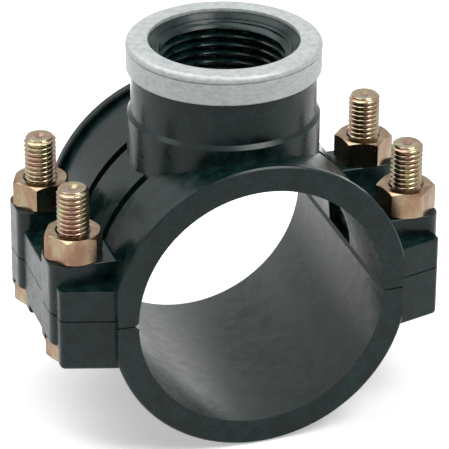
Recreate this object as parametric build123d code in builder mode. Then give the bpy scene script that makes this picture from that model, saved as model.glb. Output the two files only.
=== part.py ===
from build123d import *
from math import cos, radians, sqrt, tan
import os

# Tapping saddle: a two-piece bolted pipe clamp with a threaded outlet.
# The pipe runs along Y, the outlet points up along Z, and the four bolts stand beside the pipe.
# The origin is where the pipe's axis and the outlet's axis cross. All sizes are in millimetres.

# ---- pipe and shell ----
pipe_diameter = 63.0
pipe_clearance = 0.1        # radial, between the pipe and the closed saddle
shell_wall = 4.8
saddle_length = 64.0
split_gap = 0.3             # between the two halves when the bolts are tight
lip_height = 1.7            # raised rim at each end of the saddle
lip_width = 2.6
lip_edge_chamfer = 0.4
lip_side_height = 0.5       # of the rims where they pass the ears, flat
band_width = 15.2           # plain band in the middle, between the two ring grooves
groove_width = 2.8
groove_depth = 1.6
bore_edge_chamfer = 0.7     # on the inner edges along the split

# ---- ears that carry the bolts ----
bolt_offset = 6.8           # from the shell out to the bolt's axis
bolt_end_distance = 16.6    # from the end of the saddle to the bolt's axis
ear_wall = 6.1              # from the bolt's axis out to the wall between the columns
ear_end = 9.0               # from the bolt's axis to the ear's outer corner, along the pipe
ear_sweep = 16.0            # degrees, by which the end faces lean towards the pipe
ear_corner_radius = 1.6
ear_edge_radius = 0.4
flange_height = 8.0         # upper ear, above the split
column_wall = 7.3           # from the bolt's axis out to the face of its column
column_width = 12.4         # along Y
column_corner_radius = 3.4
nut_seat_height = 13.3
head_seat_depth = 8.6       # lower ear, below the split, where the bolt heads bear
skirt_depth = 13.4          # walls beside the bolt heads
skirt_wall = 2.4            # of the skirt between the head and the middle of the ear
skirt_edge_radius = 1.0
middle_depth = 10.8         # underside of the ear between the two heads
bolt_hole_clearance = 0.5   # radial
relief_width = 15.2         # hollow in the bore wall of the upper half, beside the split
relief_height = 11.0
relief_depth = 2.6

# ---- outlet ----
outlet_height = 58.9        # top of the reinforcing ring
outlet_radius = 23.1
collar_radius = 24.0        # thicker foot of the outlet
collar_height = 39.4
collar_taper = 1.0          # height of the slope from the foot to the outlet
thread_major_diameter = 33.25   # 1 inch pipe thread
thread_depth = 22.0
passage_diameter = 29.0     # plain hole from the thread down to the pipe
mouth_diameter = 37.0       # lead-in cone above the thread
mouth_depth = 1.8

# ---- reinforcing ring ----
ring_skirt_radius = 23.8
ring_band_radius = 24.3
ring_band_height = 1.6
ring_length = 7.5
ring_thickness = 1.0
ring_clearance = 0.05
ring_hole_diameter = 37.6
ring_outer_radius = 0.9     # roll of the top outer edge
ring_hole_chamfer = 0.4

# ---- outlet seal ----
seal_inner_diameter = 36.0
seal_width = 4.4
seal_depth = 2.4
seal_clearance = 0.1

# ---- bolts and nuts ----
bolt_diameter = 8.0
bolt_length = 40.0
bolt_tip_chamfer = 0.7
hex_across_flats = 13.0
hex_bevel_angle = 30.0
head_height = 5.3
head_slot_clearance = 0.15
nut_height = 6.8
nut_bore_clearance = 0.05
nut_bore_chamfer = 0.5
# turn of each nut about its bolt, from a corner pointing along +X
nut_turns = {"front_left": 3.0, "front_right": 42.0, "rear_left": 7.0, "rear_right": 40.5}

# ---- worked out from the values above ----
bore_radius = pipe_diameter / 2 + pipe_clearance
shell_radius = bore_radius + shell_wall
lip_side_x = shell_radius + lip_side_height
half_length = saddle_length / 2
half_gap = split_gap / 2
groove_y = (band_width + groove_width) / 2
bolt_radius = bolt_diameter / 2
bolt_x = shell_radius + bolt_offset
bolt_y = half_length - bolt_end_distance
bolt_places = {
    "front_left": (-bolt_x, -bolt_y),
    "front_right": (bolt_x, -bolt_y),
    "rear_left": (-bolt_x, bolt_y),
    "rear_right": (bolt_x, bolt_y),
}
hex_corner_radius = hex_across_flats / 2 / cos(radians(30))
ear_outer_x = bolt_x + ear_wall
ear_front_y = bolt_y + ear_end
column_outer_x = bolt_x + column_wall
ear_root_x = bore_radius + shell_wall / 2
ear_root_y = ear_front_y + (ear_outer_x - ear_root_x) * tan(radians(ear_sweep))
head_slot_width = hex_across_flats + 2 * head_slot_clearance
branch_top = outlet_height - ring_thickness
thread_radius = thread_major_diameter / 2
thread_top = branch_top - mouth_depth
thread_bottom = thread_top - thread_depth
ring_seat_radius = ring_skirt_radius - ring_thickness - ring_clearance
ring_bottom = outlet_height - ring_length
seal_inner_radius = seal_inner_diameter / 2
seal_outer_radius = seal_inner_radius + seal_width

os.makedirs("parts", exist_ok=True)


def full_shell():
    """The whole pipe shell with its end rims and ring grooves, before it is split."""
    with BuildPart() as shell:
        with BuildSketch(Plane.XY) as profile:
            with Locations((bore_radius, 0)):
                Rectangle(shell_wall, saddle_length, align=(Align.MIN, Align.CENTER))
            for end in (-1, 1):
                with Locations((bore_radius, end * (half_length - lip_width / 2))):
                    Rectangle(shell_wall + lip_height, lip_width, align=(Align.MIN, Align.CENTER))
            rim_corners = profile.vertices().filter_by(lambda v: v.X > shell_radius + lip_height / 2)
            chamfer(rim_corners, lip_edge_chamfer)
            with Locations((shell_radius, -groove_y), (shell_radius, groove_y)):
                Rectangle(2 * groove_depth, groove_width, mode=Mode.SUBTRACT)
        revolve(axis=Axis.Y)
        Box(2 * lip_side_x, saddle_length, 4 * shell_radius, mode=Mode.INTERSECT)
    return shell.part


def ear_bars(height, corner_radius):
    """The two ears, each a bar with swept end faces, standing on the XY plane."""
    with BuildPart() as bars:
        with BuildSketch(Plane.XY) as outline:
            for side in (-1, 1):
                with BuildLine():
                    Polyline(
                        (side * ear_root_x, -ear_root_y),
                        (side * ear_outer_x, -ear_front_y),
                        (side * ear_outer_x, ear_front_y),
                        (side * ear_root_x, ear_root_y),
                        close=True,
                    )
                make_face()
            outer_corners = outline.vertices().filter_by(lambda v: abs(v.X) > ear_outer_x - 1)
            fillet(outer_corners, ear_corner_radius)
        extrude(amount=height)
        fillet(bars.faces().sort_by(Axis.Z)[-2:].edges(), corner_radius)
    return bars.part


def bolt_columns(height, corner_radius):
    """The four columns that the bolts pass through, standing on the XY plane."""
    with BuildPart() as columns:
        column_length = column_outer_x - ear_root_x
        with BuildSketch(Plane.XY) as outline:
            for x, y in bolt_places.values():
                side = 1 if x > 0 else -1
                with Locations((side * (column_outer_x - column_length / 2), y)):
                    Rectangle(column_length, column_width)
            outer_corners = outline.vertices().filter_by(lambda v: abs(v.X) > column_outer_x - 1)
            fillet(outer_corners, column_corner_radius)
        extrude(amount=height)
        fillet(columns.faces().sort_by(Axis.Z)[-4:].edges(), corner_radius)
    return columns.part


def outlet_body():
    """The outlet's outer form, from inside the bore up to the seat of the reinforcing ring."""
    with BuildPart() as body:
        with BuildSketch(Plane.XZ):
            with BuildLine():
                Polyline(
                    (0, bore_radius / 2),
                    (collar_radius, bore_radius / 2),
                    (collar_radius, collar_height),
                    (outlet_radius, collar_height + collar_taper),
                    (outlet_radius, ring_bottom - ring_clearance),
                    (ring_seat_radius, ring_bottom - ring_clearance),
                    (ring_seat_radius, branch_top - ring_clearance),
                    (0, branch_top - ring_clearance),
                    close=True,
                )
            make_face()
        revolve(axis=Axis.Z)
    return body.part


def outlet_bore():
    """The hole down the outlet: lead-in cone, thread and plain passage."""
    with BuildPart() as hole:
        with BuildSketch(Plane.XZ):
            with BuildLine():
                Polyline(
                    (0, 0),
                    (passage_diameter / 2, 0),
                    (passage_diameter / 2, thread_bottom),
                    (thread_radius, thread_bottom),
                    (thread_radius, thread_top),
                    (mouth_diameter / 2, branch_top),
                    (mouth_diameter / 2, outlet_height),
                    (0, outlet_height),
                    close=True,
                )
            make_face()
        revolve(axis=Axis.Z)
    return hole.part


def seal_space(inner_radius, outer_radius, near_pipe, far_from_pipe):
    """A ring around the outlet, bent to the pipe between two radii from the pipe's axis."""
    with BuildPart() as space:
        with BuildSketch(Plane.XY):
            Circle(outer_radius)
            Circle(inner_radius, mode=Mode.SUBTRACT)
        extrude(amount=outlet_height)
        with BuildSketch(Plane.XZ.offset(-outlet_height)):
            Circle(far_from_pipe)
            Circle(near_pipe, mode=Mode.SUBTRACT)
        extrude(amount=2 * outlet_height, mode=Mode.INTERSECT)
    return space.part


def relief_hollows():
    """An arched hollow in each side of the bore, between the bolts and just above the split."""
    with BuildPart() as hollows:
        with BuildSketch(Plane.YZ.offset(-bore_radius - relief_depth)):
            with Locations((0, half_gap)):
                SlotCenterToCenter(2 * relief_height - relief_width, relief_width, rotation=90)
        extrude(amount=2 * (bore_radius + relief_depth))
        Cylinder(
            bore_radius + relief_depth,
            2 * relief_width,
            rotation=(90, 0, 0),
            mode=Mode.INTERSECT,
        )
    return hollows.part


def pipe_and_bolt_space():
    """What the pipe, the four bolts and the chamfers along the split take from both halves."""
    with BuildPart() as space:
        Cylinder(bore_radius, 2 * saddle_length, rotation=(90, 0, 0))
        with BuildSketch(Plane.XZ.offset(-saddle_length)):
            notch_side = sqrt(2) * (bore_edge_chamfer + half_gap)
            with Locations((-bore_radius, 0), (bore_radius, 0)):
                Rectangle(notch_side, notch_side, rotation=45)
        extrude(amount=2 * saddle_length)
        with Locations(*bolt_places.values()):
            Cylinder(bolt_radius + bolt_hole_clearance, 4 * nut_seat_height)
    return space.part


def hexagon(height, bevel_bottom):
    """A hexagon standing on the XY plane, corner along +X, bevelled on top and below if asked."""
    corner_excess = hex_corner_radius - hex_across_flats / 2
    bevel = corner_excess * tan(radians(hex_bevel_angle))
    with BuildPart() as prism:
        with BuildSketch(Plane.XY):
            RegularPolygon(hex_corner_radius, 6)
        extrude(amount=height)
        with BuildSketch(Plane.XZ):
            with BuildLine():
                lower = [(hex_corner_radius, 0)]
                if bevel_bottom:
                    lower = [(hex_across_flats / 2, 0), (hex_corner_radius, bevel)]
                Polyline(
                    (0, 0),
                    *lower,
                    (hex_corner_radius, height - bevel),
                    (hex_across_flats / 2, height),
                    (0, height),
                    close=True,
                )
            make_face()
        revolve(axis=Axis.Z, mode=Mode.INTERSECT)
    return prism.part


shell = full_shell()
passing_through = pipe_and_bolt_space()

# ---- upper half with the outlet ----
upper_ears = ear_bars(flange_height, ear_edge_radius)
upper_columns = bolt_columns(nut_seat_height, ear_edge_radius)
outlet_form = outlet_body()
outlet_hole = outlet_bore()
seal_seat = seal_space(
    seal_inner_radius - seal_clearance,
    seal_outer_radius + seal_clearance,
    0.9 * bore_radius,
    bore_radius + seal_depth + seal_clearance,
)
hollows = relief_hollows()

with BuildPart() as upper_saddle:
    add(shell)
    add(outlet_form)
    add(upper_ears)
    add(upper_columns)
    split(bisect_by=Plane.XY.offset(half_gap), keep=Keep.TOP)
    add(passing_through, mode=Mode.SUBTRACT)
    add(outlet_hole, mode=Mode.SUBTRACT)
    add(seal_seat, mode=Mode.SUBTRACT)
    add(hollows, mode=Mode.SUBTRACT)
upper_saddle.part.label = "upper_saddle"
export_step(upper_saddle.part, "parts/upper_saddle.step")

# ---- lower half with the slots that hold the bolt heads ----
lower_ears = mirror(ear_bars(skirt_depth, skirt_edge_radius), about=Plane.XY)
lower_columns = mirror(bolt_columns(head_seat_depth, ear_edge_radius), about=Plane.XY)
middle_width = 2 * bolt_y - head_slot_width - 2 * skirt_wall

with BuildPart() as lower_saddle:
    add(shell)
    add(lower_ears)
    with BuildSketch(Plane.XY.offset(-middle_depth)):
        for side in (-1, 1):
            with Locations((side * column_outer_x, 0)):
                Rectangle(2 * (column_outer_x - shell_radius), middle_width)
    extrude(amount=-skirt_depth, mode=Mode.SUBTRACT)
    with BuildSketch(Plane.XY.offset(-head_seat_depth)):
        for x, y in bolt_places.values():
            side = 1 if x > 0 else -1
            with Locations((x + side * hex_corner_radius / 2, y)):
                Rectangle(3 * hex_corner_radius + 2 * head_slot_clearance, head_slot_width)
    extrude(amount=-skirt_depth, mode=Mode.SUBTRACT)
    add(lower_columns)
    split(bisect_by=Plane.XY.offset(-half_gap), keep=Keep.BOTTOM)
    add(passing_through, mode=Mode.SUBTRACT)
lower_saddle.part.label = "lower_saddle"
export_step(lower_saddle.part, "parts/lower_saddle.step")

# ---- reinforcing ring ----
with BuildPart() as reinforcing_ring:
    with BuildSketch(Plane.XZ) as ring_profile:
        with BuildLine():
            Polyline(
                (ring_skirt_radius - ring_thickness, ring_bottom),
                (ring_skirt_radius, ring_bottom),
                (ring_skirt_radius, outlet_height - ring_band_height),
                (ring_band_radius, outlet_height - ring_band_height),
                (ring_band_radius, outlet_height),
                (ring_hole_diameter / 2, outlet_height),
                (ring_hole_diameter / 2, outlet_height - ring_thickness),
                (ring_skirt_radius - ring_thickness, outlet_height - ring_thickness),
                close=True,
            )
        make_face()
        top_corners = ring_profile.vertices().group_by(Axis.Y)[-1].sort_by(Axis.X)
        fillet(top_corners[-1], ring_outer_radius)
        chamfer(top_corners[0], ring_hole_chamfer)
    revolve(axis=Axis.Z)
reinforcing_ring.part.label = "reinforcing_ring"
export_step(reinforcing_ring.part, "parts/reinforcing_ring.step")

# ---- rubber seal round the outlet, in its seat in the upper half ----
outlet_seal = seal_space(
    seal_inner_radius,
    seal_outer_radius,
    bore_radius + seal_clearance,
    bore_radius + seal_depth,
)
with BuildPart() as seal_ring:
    add(outlet_seal)
    split(bisect_by=Plane.XY, keep=Keep.TOP)
seal_ring.part.label = "outlet_seal"
export_step(seal_ring.part, "parts/outlet_seal.step")

# ---- bolts and nuts ----
bolt_head = mirror(hexagon(head_height, bevel_bottom=False), about=Plane.XY)
nut_blank = hexagon(nut_height, bevel_bottom=True)

for place, (x, y) in bolt_places.items():
    head_plane = Plane((x, y, -head_seat_depth))
    with BuildPart() as bolt:
        add(head_plane * bolt_head)
        with BuildSketch(head_plane):
            Circle(bolt_radius)
        extrude(amount=bolt_length)
        tip = bolt.faces().sort_by(Axis.Z)[-1]
        chamfer(tip.edges(), bolt_tip_chamfer)
    bolt.part.label = place + "_bolt"
    export_step(bolt.part, "parts/" + place + "_bolt.step")

    nut_plane = Plane((x, y, nut_seat_height)).rotated((0, 0, nut_turns[place]))
    with BuildPart() as nut:
        add(nut_plane * nut_blank)
        with BuildSketch(nut_plane):
            Circle(bolt_radius + nut_bore_clearance)
        extrude(amount=nut_height, mode=Mode.SUBTRACT)
        bore_edges = nut.faces().filter_by(GeomType.CYLINDER).sort_by(SortBy.RADIUS)[0].edges()
        chamfer(bore_edges.filter_by(GeomType.CIRCLE), nut_bore_chamfer)
    nut.part.label = place + "_nut"
    export_step(nut.part, "parts/" + place + "_nut.step")
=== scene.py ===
import math
import bmesh
import bpy
from mathutils import Matrix, Vector

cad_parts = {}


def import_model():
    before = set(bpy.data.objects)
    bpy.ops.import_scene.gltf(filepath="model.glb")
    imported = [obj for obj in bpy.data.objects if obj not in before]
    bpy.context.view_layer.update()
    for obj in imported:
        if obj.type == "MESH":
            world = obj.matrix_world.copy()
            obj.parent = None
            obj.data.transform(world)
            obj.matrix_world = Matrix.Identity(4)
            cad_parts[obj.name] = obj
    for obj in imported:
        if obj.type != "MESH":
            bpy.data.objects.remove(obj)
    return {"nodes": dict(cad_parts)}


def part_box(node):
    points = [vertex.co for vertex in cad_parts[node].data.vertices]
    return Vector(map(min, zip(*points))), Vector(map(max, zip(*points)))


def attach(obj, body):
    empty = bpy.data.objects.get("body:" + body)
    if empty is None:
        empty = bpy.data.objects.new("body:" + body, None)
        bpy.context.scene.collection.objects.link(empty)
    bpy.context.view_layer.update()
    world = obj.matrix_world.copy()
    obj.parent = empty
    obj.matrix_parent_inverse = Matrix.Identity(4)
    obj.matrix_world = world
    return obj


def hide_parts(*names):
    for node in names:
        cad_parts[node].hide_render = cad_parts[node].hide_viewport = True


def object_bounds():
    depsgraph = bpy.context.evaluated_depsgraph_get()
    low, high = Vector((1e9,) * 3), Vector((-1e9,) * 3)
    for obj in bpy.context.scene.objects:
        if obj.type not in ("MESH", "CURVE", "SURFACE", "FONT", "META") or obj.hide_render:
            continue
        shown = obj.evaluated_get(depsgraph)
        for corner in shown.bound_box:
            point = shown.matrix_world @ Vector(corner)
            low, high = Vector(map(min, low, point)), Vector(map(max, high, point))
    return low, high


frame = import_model()
cad_low, cad_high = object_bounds()

MM = 0.001
PLACES = ("front_left", "front_right", "rear_left", "rear_right")

# ---- both threads ----
THREAD_ROWS = 12            # mesh rows to one turn
CREST_SHARE = 0.14          # of a turn, which the flat top of the thread takes
ROOT_SHARE = 0.20           # of a turn, which its flat bottom takes
CREASE_ANGLE = math.radians(28)

# ---- bolts ----
BOLT_RADIUS = 4.0 * MM
BOLT_PITCH = 1.25 * MM
BOLT_THREAD_DEPTH = 0.7 * MM
BOLT_STEPS = 60             # mesh columns round a bolt
HEAD_HEIGHT = 5.3 * MM
HEAD_CUT = 0.4 * MM         # above the head, where the plain shank of the solid ends
SHANK_SINK = 1.0 * MM       # of the threaded shank into the head
PLAIN_SHANK = 2 * BOLT_PITCH    # above the head
THREAD_START = 0.1 * MM     # height over which the thread starts from the plain shank
TIP_CHAMFER = 0.7 * MM
DIMPLE_RADIUS = 1.5 * MM    # in the bolt's tip
DIMPLE_FLOOR = 0.8 * MM
DIMPLE_DEPTH = 0.5 * MM

# ---- outlet ----
PIPE_THREAD_PITCH = 25.4 * MM / 11
OUTLET_ROOT = 16.6 * MM
OUTLET_CREST = 15.15 * MM
OUTLET_THREAD_DEPTH = 22 * MM
OUTLET_STEPS = 144          # mesh columns round the outlet
SLEEVE_WALL = 1.2 * MM      # from the thread's root to the sleeve's side in the plastic
SLEEVE_TAIL = 0.3 * MM      # of the sleeve below the thread
MOUTH_DEPTH = 1.75 * MM     # lead-in cone above the thread
LEAD_IN = 1.4 * MM          # height over which the first turn starts
LEAD_IN_SLOPE = 0.8
LEDGE = ((17.1 * MM, 0.05 * MM), (17.1 * MM, 0.65 * MM), (17.25 * MM, 0.8 * MM))

# ---- reinforcing ring ----
RING_HOLE = 18.8 * MM
RING_ROLL = 1.5 * MM        # radius of the rolled top edge
RING_ROLL_STEPS = 8
RING_LINE_DROP = 1.75 * MM  # from the ring's top down to the fine line
RING_LINE_DEPTH = 0.3 * MM
RING_SKIRT_INSET = 0.08 * MM
RING_WALL = 1.3 * MM
RING_TOP_WALL = 1.0 * MM
RING_HEM = 0.25 * MM        # bevel at the foot of the skirt

# ---- floor and camera ----
FLOOR_GAP = 0.2 * MM        # below the lowest point of the part
FLOOR_SIDE = 0.8
FLOOR_FRONT = -0.18
FLOOR_GLOW = 0.42
CAMERA_TURNS = (-18.147, 26.83, 0.438)      # azimuth, elevation and roll in degrees
CAMERA_TARGET = Vector((133.2, 404.9, -208.1)) * MM
CAMERA_DISTANCE = 1257.9 * MM
SENSOR_WIDTH = 36.0
FOCAL_LENGTH = 247.304


# ---------------------------------------------------------------- node helpers

def new_material(name):
    """A material with an empty tree but for its Principled shader and output."""
    material = bpy.data.materials.new(name)
    material.use_nodes = True
    nodes = material.node_tree.nodes
    return material, nodes, material.node_tree.links, nodes["Principled BSDF"]


def noise(nodes, links, scale, detail=4.0, roughness=0.55, stretch=(1, 1, 1)):
    """Noise in the piece's own coordinates; scale is in cells per metre."""
    coordinates = nodes.new("ShaderNodeTexCoord")
    mapping = nodes.new("ShaderNodeMapping")
    mapping.inputs["Scale"].default_value = stretch
    texture = nodes.new("ShaderNodeTexNoise")
    texture.inputs["Scale"].default_value = scale
    texture.inputs["Detail"].default_value = detail
    texture.inputs["Roughness"].default_value = roughness
    links.new(coordinates.outputs["Object"], mapping.inputs["Vector"])
    links.new(mapping.outputs["Vector"], texture.inputs["Vector"])
    return texture.outputs["Fac"]


def ramp(nodes, links, source, stops):
    """A colour ramp over source; stops are (position, linear colour) pairs."""
    node = nodes.new("ShaderNodeValToRGB")
    elements = node.color_ramp.elements
    while len(elements) < len(stops):
        elements.new(0.5)
    for element, (position, colour) in zip(elements, stops):
        element.position = position
        element.color = (*colour, 1.0)
    links.new(source, node.inputs["Fac"])
    return node.outputs["Color"]


def remap(nodes, links, source, low, high, from_low=0.3, from_high=0.7):
    """Source, mostly noise, carried from one range to the range low to high."""
    node = nodes.new("ShaderNodeMapRange")
    node.inputs["From Min"].default_value = from_low
    node.inputs["From Max"].default_value = from_high
    node.inputs["To Min"].default_value = low
    node.inputs["To Max"].default_value = high
    links.new(source, node.inputs["Value"])
    return node.outputs["Result"]


def bump(nodes, links, height, shader, distance, strength):
    """Surface relief from a height of 0 to 1, distance metres deep."""
    node = nodes.new("ShaderNodeBump")
    node.inputs["Distance"].default_value = distance
    node.inputs["Strength"].default_value = strength
    links.new(height, node.inputs["Height"])
    links.new(node.outputs["Normal"], shader.inputs["Normal"])


# ---------------------------------------------------------------- materials

def saddle_plastic():
    """Charcoal polypropylene with a fine moulded grain and faint flow mottling."""
    material, nodes, links, shader = new_material("saddle_plastic")
    mottle = noise(nodes, links, 260, detail=5, roughness=0.62)
    colour = ramp(nodes, links, mottle, [
        (0.36, (0.001, 0.007, 0.006)),
        (0.50, (0.002, 0.014, 0.013)),
        (0.66, (0.007, 0.024, 0.023)),
    ])
    links.new(colour, shader.inputs["Base Color"])
    links.new(remap(nodes, links, mottle, 0.20, 0.34), shader.inputs["Roughness"])
    shader.inputs["Specular IOR Level"].default_value = 0.26
    bump(nodes, links, noise(nodes, links, 700, detail=3), shader, 0.03 * MM, 0.5)
    return material


def zinc_plate(name, stops, scale):
    """Yellow-passivated zinc: metal whose film shifts from straw to pink and green."""
    material, nodes, links, shader = new_material(name)
    film = noise(nodes, links, scale, detail=5, roughness=0.6, stretch=(1, 1, 0.45))
    links.new(ramp(nodes, links, film, stops), shader.inputs["Base Color"])
    shader.inputs["Metallic"].default_value = 1.0
    grain = noise(nodes, links, 2600, detail=3)
    links.new(remap(nodes, links, grain, 0.20, 0.28), shader.inputs["Roughness"])
    bump(nodes, links, grain, shader, 0.01 * MM, 0.4)
    return material


def ring_metal():
    """Pale satin steel, slightly mottled by its zinc coat."""
    material, nodes, links, shader = new_material("ring_steel")
    mottle = noise(nodes, links, 620, detail=7, roughness=0.75, stretch=(1, 1, 2.2))
    colour = ramp(nodes, links, mottle, [
        (0.36, (0.36, 0.38, 0.38)),
        (0.50, (0.46, 0.49, 0.49)),
        (0.64, (0.54, 0.57, 0.56)),
    ])
    links.new(colour, shader.inputs["Base Color"])
    shader.inputs["Metallic"].default_value = 0.35
    links.new(remap(nodes, links, mottle, 0.42, 0.55), shader.inputs["Roughness"])
    bump(nodes, links, noise(nodes, links, 900, detail=5), shader, 0.05 * MM, 0.5)
    return material


def seal_rubber():
    """Matt black rubber."""
    material, nodes, links, shader = new_material("seal_rubber")
    grain = noise(nodes, links, 900)
    links.new(ramp(nodes, links, grain, [
        (0.3, (0.012, 0.012, 0.012)),
        (0.7, (0.022, 0.022, 0.022)),
    ]), shader.inputs["Base Color"])
    shader.inputs["Roughness"].default_value = 0.75
    bump(nodes, links, grain, shader, 0.05 * MM, 0.5)
    return material


def assign(piece, material):
    """The piece is wholly of this material."""
    piece.data.materials.clear()
    piece.data.materials.append(material)


# ---------------------------------------------------------------- threads

def thread_radius(height, angle, pitch, crest, root):
    """Radius of a right-handed thread at a height and an angle round its axis."""
    phase = (height / pitch - angle / (2 * math.pi)) % 1.0
    flank = (1 - CREST_SHARE - ROOT_SHARE) / 2
    if phase < ROOT_SHARE:
        share = 0.0
    elif phase < ROOT_SHARE + flank:
        share = (phase - ROOT_SHARE) / flank
    elif phase < ROOT_SHARE + flank + CREST_SHARE:
        share = 1.0
    else:
        share = (1.0 - phase) / flank
    return root + (crest - root) * share


def circle(centre, height, radii):
    """One ring of points round a vertical axis, with a radius for each column."""
    steps = len(radii)
    ring = []
    for j in range(steps):
        angle = 2 * math.pi * j / steps
        ring.append((
            centre[0] + radii[j] * math.cos(angle),
            centre[1] + radii[j] * math.sin(angle),
            height,
        ))
    return ring


def ringed_mesh(rings, capped):
    """A closed mesh from rings of points: capped at both ends, or the last ring joined to the first."""
    columns = len(rings[0])
    points = [point for ring in rings for point in ring]
    faces = []
    pairs = [(i, i + 1) for i in range(len(rings) - 1)]
    if not capped:
        pairs.append((len(rings) - 1, 0))
    for a, b in pairs:
        for j in range(columns):
            k = (j + 1) % columns
            faces.append((a * columns + j, a * columns + k, b * columns + k, b * columns + j))
    if capped:
        last = (len(rings) - 1) * columns
        faces.append(tuple(range(columns - 1, -1, -1)))
        faces.append(tuple(range(last, last + columns)))
    mesh = bpy.data.meshes.new("rings")
    mesh.from_pydata(points, [], faces)
    shape = bmesh.new()
    shape.from_mesh(mesh)
    bmesh.ops.recalc_face_normals(shape, faces=shape.faces)
    shape.to_mesh(mesh)
    shape.free()
    return mesh


def linked(name, mesh, material):
    """An object of this mesh and material, with creases kept where faces meet sharply."""
    mesh.name = name
    mesh.materials.append(material)
    for polygon in mesh.polygons:
        polygon.use_smooth = True
    mesh.set_sharp_from_angle(angle=CREASE_ANGLE)
    piece = bpy.data.objects.new(name, mesh)
    bpy.context.scene.collection.objects.link(piece)
    return piece


def bolt_head(place, head_top):
    """The bolt's hexagon head as in the solids, cut off and closed just above its top."""
    source = cad[place + "_bolt"]
    head = bmesh.new()
    head.from_mesh(source.data)
    head.transform(source.matrix_world)
    bmesh.ops.remove_doubles(head, verts=head.verts, dist=0.0005 * MM)
    geometry = head.verts[:] + head.edges[:] + head.faces[:]
    cut = bmesh.ops.bisect_plane(
        head,
        geom=geometry,
        plane_co=(0, 0, head_top + HEAD_CUT),
        plane_no=(0, 0, 1),
        clear_outer=True,
    )
    rim = [item for item in cut["geom_cut"] if isinstance(item, bmesh.types.BMEdge)]
    bmesh.ops.holes_fill(head, edges=rim, sides=0)
    return head


def threaded_bolt(place, material):
    """A bolt with its M8 thread cut along the whole shank, up to the chamfered and dimpled tip."""
    low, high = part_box(place + "_bolt")
    centre = ((low.x + high.x) / 2, (low.y + high.y) / 2)
    head_top = low.z + HEAD_HEIGHT
    root = BOLT_RADIUS - BOLT_THREAD_DEPTH
    thread_start = head_top + PLAIN_SHANK
    chamfer_start = high.z - TIP_CHAMFER
    rows = round((high.z - thread_start) / BOLT_PITCH * THREAD_ROWS)
    rings = [
        circle(centre, head_top - SHANK_SINK, [BOLT_RADIUS] * BOLT_STEPS),
        circle(centre, thread_start - THREAD_START, [BOLT_RADIUS] * BOLT_STEPS),
    ]
    for i in range(rows + 1):
        height = thread_start + (high.z - thread_start) * i / rows
        limit = BOLT_RADIUS - max(0.0, height - chamfer_start)
        radii = []
        for j in range(BOLT_STEPS):
            angle = 2 * math.pi * j / BOLT_STEPS
            radii.append(min(limit, thread_radius(height, angle, BOLT_PITCH, BOLT_RADIUS, root)))
        rings.append(circle(centre, height, radii))
    rings.append(circle(centre, high.z, [DIMPLE_RADIUS] * BOLT_STEPS))
    rings.append(circle(centre, high.z - DIMPLE_DEPTH, [DIMPLE_FLOOR] * BOLT_STEPS))
    head = bolt_head(place, head_top)
    head.from_mesh(ringed_mesh(rings, capped=True))
    mesh = bpy.data.meshes.new("bolt")
    head.to_mesh(mesh)
    head.free()
    piece = linked(place + "_bolt_threaded", mesh, material)
    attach(piece, "lower")
    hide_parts(place + "_bolt")


def outlet_thread(material):
    """The 1 inch pipe thread and the small ledge above it, as a sleeve let into the outlet's wall."""
    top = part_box("upper_saddle")[1].z - MOUTH_DEPTH
    bottom = top - OUTLET_THREAD_DEPTH
    rows = round((top - bottom) / PIPE_THREAD_PITCH * THREAD_ROWS)
    hidden = OUTLET_ROOT + SLEEVE_WALL
    rings = [circle((0, 0), bottom - SLEEVE_TAIL, [hidden] * OUTLET_STEPS)]
    for i in range(rows + 1):
        height = bottom + (top - bottom) * i / rows
        lead_in = OUTLET_CREST + max(0.0, height - (top - LEAD_IN)) * LEAD_IN_SLOPE
        radii = []
        for j in range(OUTLET_STEPS):
            angle = 2 * math.pi * j / OUTLET_STEPS
            radius = thread_radius(height, angle, PIPE_THREAD_PITCH, OUTLET_CREST, OUTLET_ROOT)
            radii.append(max(lead_in, radius))
        rings.append(circle((0, 0), height, radii))
    for radius, rise in LEDGE:
        rings.append(circle((0, 0), top + rise, [radius] * OUTLET_STEPS))
    rings.append(circle((0, 0), top + LEDGE[-1][1], [hidden] * OUTLET_STEPS))
    piece = linked("outlet_thread", ringed_mesh(rings, capped=False), material)
    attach(piece, "root")


def rolled_ring(material):
    """The reinforcing ring with its rolled top edge and the fine line below the roll."""
    low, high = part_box("reinforcing_ring")
    outer = high.x
    skirt = outer - RING_SKIRT_INSET
    inner = skirt - RING_WALL
    line = high.z - RING_LINE_DROP
    profile = [
        (inner, low.z),
        (skirt - RING_HEM, low.z),
        (skirt, low.z + RING_HEM),
        (skirt, line - 0.30 * MM),
        (skirt - RING_LINE_DEPTH, line - 0.12 * MM),
        (skirt - RING_LINE_DEPTH, line + 0.05 * MM),
        (outer, line + 0.20 * MM),
    ]
    for step in range(RING_ROLL_STEPS + 1):
        angle = math.pi / 2 * step / RING_ROLL_STEPS
        radius = outer - RING_ROLL * (1 - math.cos(angle))
        height = high.z - RING_ROLL * (1 - math.sin(angle))
        profile.append((radius, height))
    profile += [
        (RING_HOLE + 0.35 * MM, high.z),
        (RING_HOLE + 0.10 * MM, high.z - 0.10 * MM),
        (RING_HOLE, high.z - 0.35 * MM),
        (RING_HOLE, high.z - RING_TOP_WALL),
        (inner, high.z - RING_TOP_WALL),
    ]
    rings = [circle((0, 0), height, [radius] * OUTLET_STEPS) for radius, height in profile]
    piece = linked("reinforcing_ring_rolled", ringed_mesh(rings, capped=False), material)
    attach(piece, "root")
    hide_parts("reinforcing_ring")


# ---------------------------------------------------------------- stage, light and camera

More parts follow.
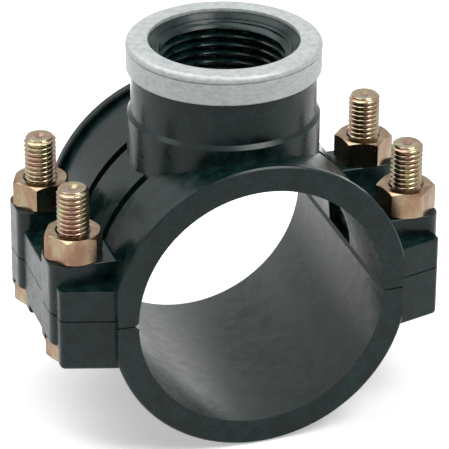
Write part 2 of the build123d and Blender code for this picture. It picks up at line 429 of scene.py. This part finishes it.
def background_rays(nodes, links):
    """1 for the camera's own rays and for what metal and glass show, 0 for other rays."""
    path = nodes.new("ShaderNodeLightPath")
    mirrored = nodes.new("ShaderNodeMath")
    mirrored.operation = "MAXIMUM"
    links.new(path.outputs["Is Glossy Ray"], mirrored.inputs[0])
    links.new(path.outputs["Is Transmission Ray"], mirrored.inputs[1])
    seen = nodes.new("ShaderNodeMath")
    seen.operation = "MAXIMUM"
    links.new(path.outputs["Is Camera Ray"], seen.inputs[0])
    links.new(mirrored.outputs["Value"], seen.inputs[1])
    return seen.outputs["Value"]


def floor():
    """A plain pale floor under the saddle, as white as the backdrop where no shadow falls."""
    z = cad_low.z - FLOOR_GAP
    corners = [
        (-FLOOR_SIDE, FLOOR_FRONT, z),
        (FLOOR_SIDE, FLOOR_FRONT, z),
        (FLOOR_SIDE, FLOOR_SIDE, z),
        (-FLOOR_SIDE, FLOOR_SIDE, z),
    ]
    mesh = bpy.data.meshes.new("floor")
    mesh.from_pydata(corners, [], [(0, 1, 2, 3)])
    piece = bpy.data.objects.new("floor", mesh)
    bpy.context.scene.collection.objects.link(piece)
    material, nodes, links, shader = new_material("floor")
    shader.inputs["Base Color"].default_value = (0.9, 0.9, 0.9, 1)
    shader.inputs["Roughness"].default_value = 0.9
    shader.inputs["Emission Color"].default_value = (1, 1, 1, 1)
    glow = nodes.new("ShaderNodeMath")
    glow.operation = "MULTIPLY"
    glow.inputs[1].default_value = FLOOR_GLOW
    links.new(background_rays(nodes, links), glow.inputs[0])
    links.new(glow.outputs["Value"], shader.inputs["Emission Strength"])
    assign(piece, material)


def world():
    """A white backdrop to look at, which lights the saddle less from overhead and in front."""
    sky = bpy.data.worlds.new("studio")
    bpy.context.scene.world = sky
    sky.use_nodes = True
    nodes, links = sky.node_tree.nodes, sky.node_tree.links
    background = nodes["Background"]
    background.inputs["Color"].default_value = (1, 1, 1, 1)
    direction = nodes.new("ShaderNodeTexCoord")
    split = nodes.new("ShaderNodeSeparateXYZ")
    links.new(direction.outputs["Generated"], split.inputs["Vector"])
    height = remap(nodes, links, split.outputs["Z"], 1.0, 0.10, from_low=0.10, from_high=0.60)
    depth = remap(nodes, links, split.outputs["Y"], 0.25, 1.0, from_low=-0.5, from_high=0.3)
    level = nodes.new("ShaderNodeMath")
    level.operation = "MULTIPLY"
    links.new(height, level.inputs[0])
    links.new(depth, level.inputs[1])
    strength = nodes.new("ShaderNodeMath")
    strength.operation = "MAXIMUM"
    links.new(level.outputs["Value"], strength.inputs[0])
    links.new(background_rays(nodes, links), strength.inputs[1])
    links.new(strength.outputs["Value"], background.inputs["Strength"])


def lamp(name, place, target, width, height, power):
    """A soft box at place, pointing at target."""
    light = bpy.data.lights.new(name, "AREA")
    light.shape = "RECTANGLE"
    light.size = width
    light.size_y = height
    light.energy = power
    piece = bpy.data.objects.new(name, light)
    piece.location = place
    piece.rotation_euler = (Vector(target) - Vector(place)).to_track_quat("-Z", "Y").to_euler()
    bpy.context.scene.collection.objects.link(piece)


def camera():
    """A long lens at the front left, looking a little down."""
    azimuth, elevation, roll = (math.radians(turn) for turn in CAMERA_TURNS)
    back = Vector((
        math.sin(azimuth) * math.cos(elevation),
        -math.cos(azimuth) * math.cos(elevation),
        math.sin(elevation),
    ))
    lens = bpy.data.cameras.new("camera")
    lens.sensor_width = SENSOR_WIDTH
    lens.lens = FOCAL_LENGTH
    lens.clip_end = 20
    piece = bpy.data.objects.new("camera", lens)
    right = Vector((math.cos(azimuth), math.sin(azimuth), 0))
    up = back.cross(right)
    x_axis = right * math.cos(roll) + up * math.sin(roll)
    y_axis = up * math.cos(roll) - right * math.sin(roll)
    turned = Matrix((x_axis, y_axis, back)).transposed().to_4x4()
    piece.matrix_world = Matrix.Translation(CAMERA_TARGET + back * CAMERA_DISTANCE) @ turned
    bpy.context.scene.collection.objects.link(piece)
    bpy.context.scene.camera = piece


# ---------------------------------------------------------------- the dressed part

cad = frame["nodes"]
plastic = saddle_plastic()
rubber = seal_rubber()
for node in ("upper_saddle", "lower_saddle"):
    assign(cad[node], plastic)
assign(cad["outlet_seal"], rubber)
steel = ring_metal()
assign(cad["reinforcing_ring"], steel)
rolled_ring(steel)
nut_zinc = zinc_plate("nut_zinc", [
    (0.36, (0.22, 0.13, 0.085)),
    (0.50, (0.29, 0.195, 0.125)),
    (0.64, (0.34, 0.28, 0.185)),
], 260)
bolt_zinc = zinc_plate("bolt_zinc", [
    (0.36, (0.30, 0.18, 0.14)),
    (0.50, (0.34, 0.26, 0.18)),
    (0.64, (0.38, 0.36, 0.20)),
], 300)
for place in PLACES:
    assign(cad[place + "_nut"], nut_zinc)
    assign(cad[place + "_bolt"], bolt_zinc)
    threaded_bolt(place, bolt_zinc)
outlet_thread(plastic)

floor()
world()
lamp("back_box", (-0.35, 0.25, 0.90), (0, 0, 0), 0.9, 0.9, 7.5)
lamp("front_box", (0.32, -0.45, 0.85), (0, 0, 0), 0.5, 0.5, 6.5)
lamp("bore_card", (0.03, 0.13, 0.005), (0, 0, -0.02), 0.16, 0.05, 0.03)
camera()

scene = bpy.context.scene
scene.view_settings.view_transform = "Standard"
